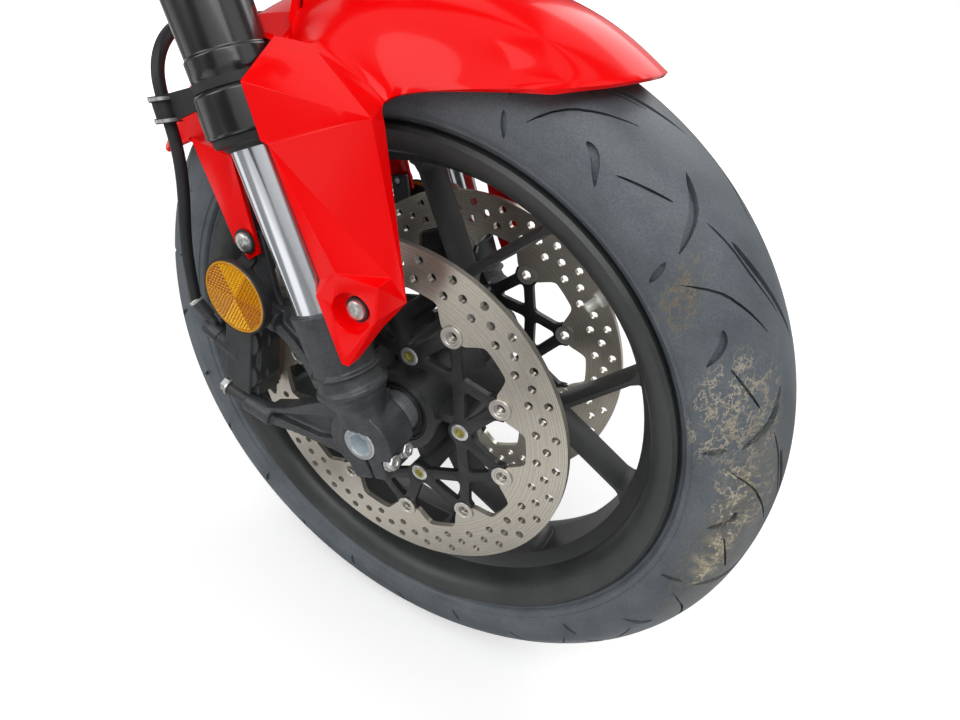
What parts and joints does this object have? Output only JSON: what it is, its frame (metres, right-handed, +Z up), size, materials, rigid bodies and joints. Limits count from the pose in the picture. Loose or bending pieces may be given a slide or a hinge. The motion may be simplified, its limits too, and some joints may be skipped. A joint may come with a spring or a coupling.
{
  "type": "front wheel and fork of a sport motorcycle",
  "caption": "Front end of a sport motorcycle: cast wheel with tyre, floating brake discs, radial calipers, inverted fork, mudguard and lower yoke.",
  "frame": {"origin": "middle of the steering stem's lower bearing seat's foot, on top of the lower yoke", "axes": "+X forward, +Y to the rider's left, +Z up, with the bike upright and the steering straight"},
  "size_m": [0.655, 0.276, 0.9803],
  "materials": {
    "tyre": "matt",
    "wheel_black": "satin",
    "disc_steel": "ground",
    "carrier_black": "satin",
    "bright_steel": "plated",
    "bearing_steel": "ground",
    "seal_rubber": "matt",
    "axle_steel": "plated",
    "cast_black": "satin",
    "chrome_tube": "polished",
    "tube_black": "gloss",
    "yoke_black": "satin",
    "guard_red": "gloss",
    "caliper_black": "satin",
    "pad_lining": "matt",
    "amber_lens": "gloss",
    "black_plastic": "matt",
    "hose_rubber": "satin"
  },
  "bodies": {
    "fork": {"axle": "axle_steel", "axle_spacers": "bright_steel", "fork_bottom_right": "cast_black", "fork_bottom_left": "cast_black", "pinch_bolts": "bright_steel", "inner_tube_right": "chrome_tube", "inner_tube_left": "chrome_tube", "dust_seal_right": "seal_rubber", "dust_seal_left": "seal_rubber", "outer_tube_right": "tube_black", "outer_tube_left": "tube_black", "fork_caps": "yoke_black", "lower_yoke": "yoke_black", "steering_stem": "bearing_steel", "caliper_right": "caliper_black", "caliper_left": "caliper_black", "caliper_bolts": "bright_steel", "brake_pads": "pad_lining", "mudguard": "guard_red", "mudguard_bolts": "black_plastic", "reflector_lens_right": "amber_lens", "reflector_lens_left": "amber_lens", "reflector_holder_right": "black_plastic", "reflector_holder_left": "black_plastic", "brake_hose": "hose_rubber", "hose_clamp_right": "yoke_black", "hose_clamp_left": "yoke_black", "banjo_fittings": "bright_steel"},
    "wheel": {"tyre": "tyre", "wheel_casting": "wheel_black", "tyre_valve": "bright_steel", "wheel_bearings": "bearing_steel", "wheel_seals": "seal_rubber", "brake_disc_right": "disc_steel", "brake_disc_left": "disc_steel", "disc_carrier_right": "carrier_black", "disc_carrier_left": "carrier_black", "disc_bobbins": "bright_steel", "carrier_bolts": "bright_steel"}
  },
  "joints": [
    {"name": "wheel_spin", "type": "hinge", "parent": "fork", "child": "wheel", "pos_m": [0.26462, 0, -0.46652], "axis": [0, 1, 0], "continuous": true}
  ]
}
